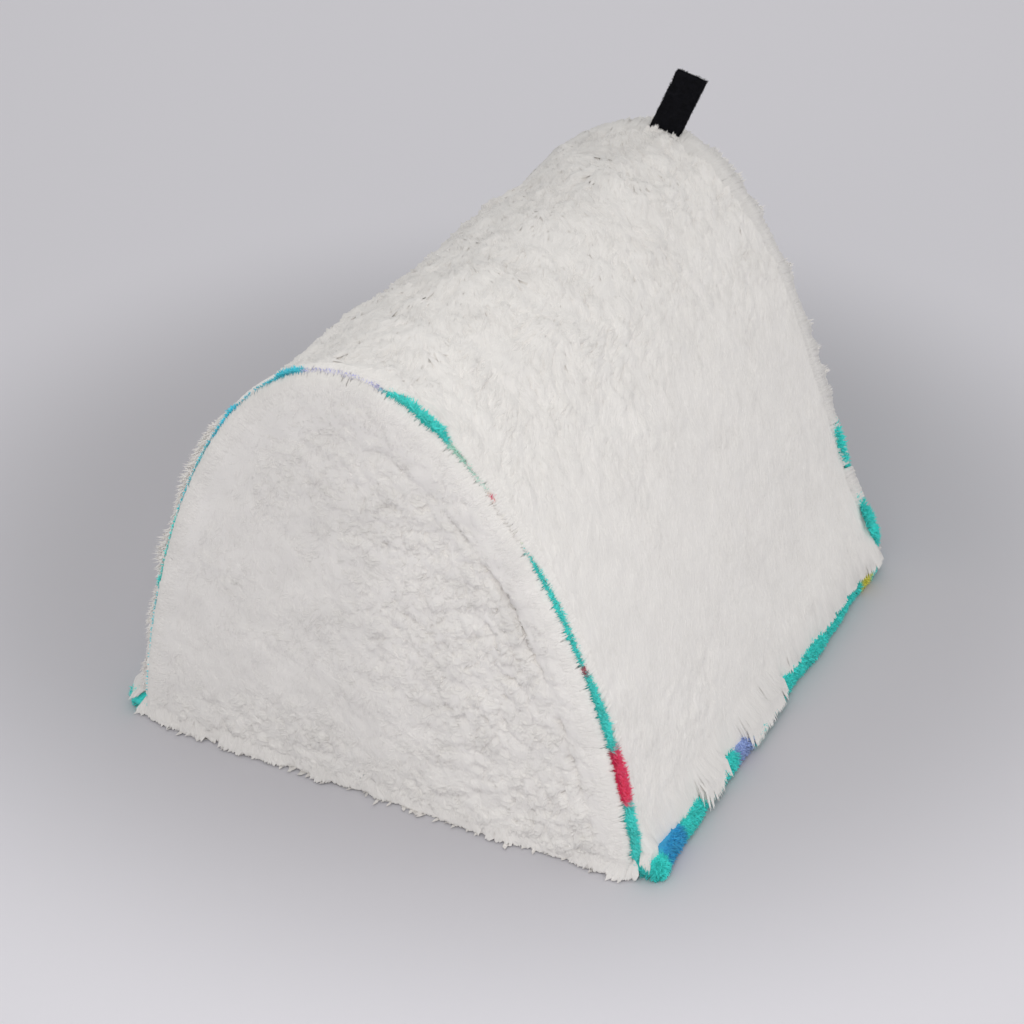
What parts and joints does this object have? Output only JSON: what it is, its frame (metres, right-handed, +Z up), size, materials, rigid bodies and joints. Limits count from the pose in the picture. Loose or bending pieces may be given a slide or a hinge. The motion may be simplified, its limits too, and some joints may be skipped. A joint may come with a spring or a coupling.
{
  "type": "small pet sleeping bag",
  "caption": "Arched sleeping bag for a small pet in long plush with a printed lining: flat floor, closed D-shaped end, open mouth and a tape tab at its top.",
  "frame": {"origin": "on the floor, under the middle of the whole bag", "axes": "+Z up, +Y towards the open mouth, +X across to the right as seen from the closed end"},
  "size_m": [0.2652, 0.27, 0.2404],
  "materials": {
    "white_plush": "long white plush pile, matt, slightly clumped",
    "printed_lining": "short teal plush printed with soft blue, red-pink and yellow blobs, matt",
    "black_tape": "black woven tape with a short nap, matt"
  },
  "bodies": {
    "root": {"roof_outer": "white_plush", "roof_lining": "printed_lining", "back_outer": "white_plush", "back_lining": "printed_lining", "floor_outer": "white_plush", "floor_lining": "printed_lining", "hang_tab": "black_tape"}
  },
  "joints": []
}
